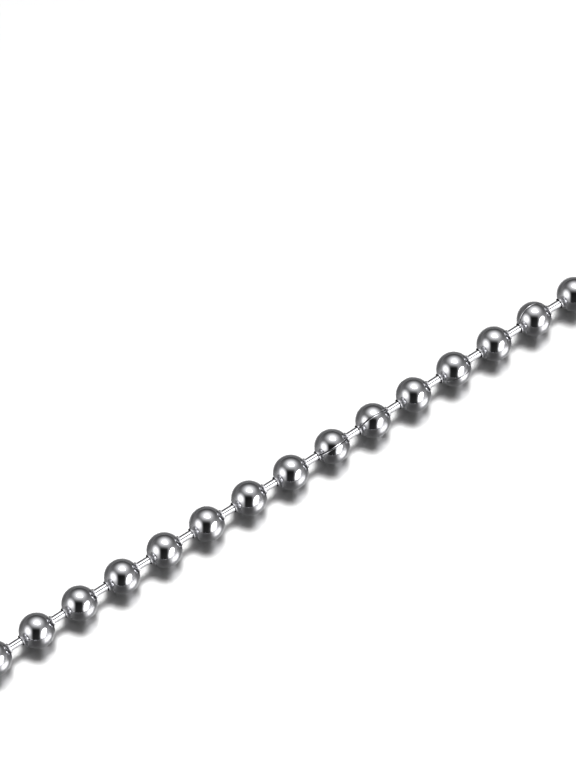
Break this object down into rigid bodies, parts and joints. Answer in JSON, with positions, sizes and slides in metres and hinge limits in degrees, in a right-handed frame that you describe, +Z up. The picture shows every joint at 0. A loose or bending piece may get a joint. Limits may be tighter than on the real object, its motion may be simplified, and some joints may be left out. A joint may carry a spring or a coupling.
{
  "type": "ball chain necklace",
  "caption": "Closed loop of hollow metal balls on short dumbbell pins, with a sleeve clasp that holds the two end balls; worn round the neck, or carries a pendant.",
  "frame": {"origin": "on the surface that the necklace lies on, under the middle of the whole loop", "axes": "+X along the straight front run, from left to right; +Y from the clasp, across the loop, to the front run; +Z up from the surface"},
  "size_m": [0.2474, 0.1086, 0.007],
  "materials": {
    "ball_steel": "stainless steel sheet, rolled into balls and tumble polished to a mirror",
    "pin_steel": "drawn stainless steel wire, bright, with faint marks along its length",
    "clasp_steel": "stainless steel sheet, rolled into a sleeve and polished"
  },
  "bodies": {
    "root": {"balls": "ball_steel", "pins": "pin_steel", "clasp": "clasp_steel"}
  },
  "joints": []
}
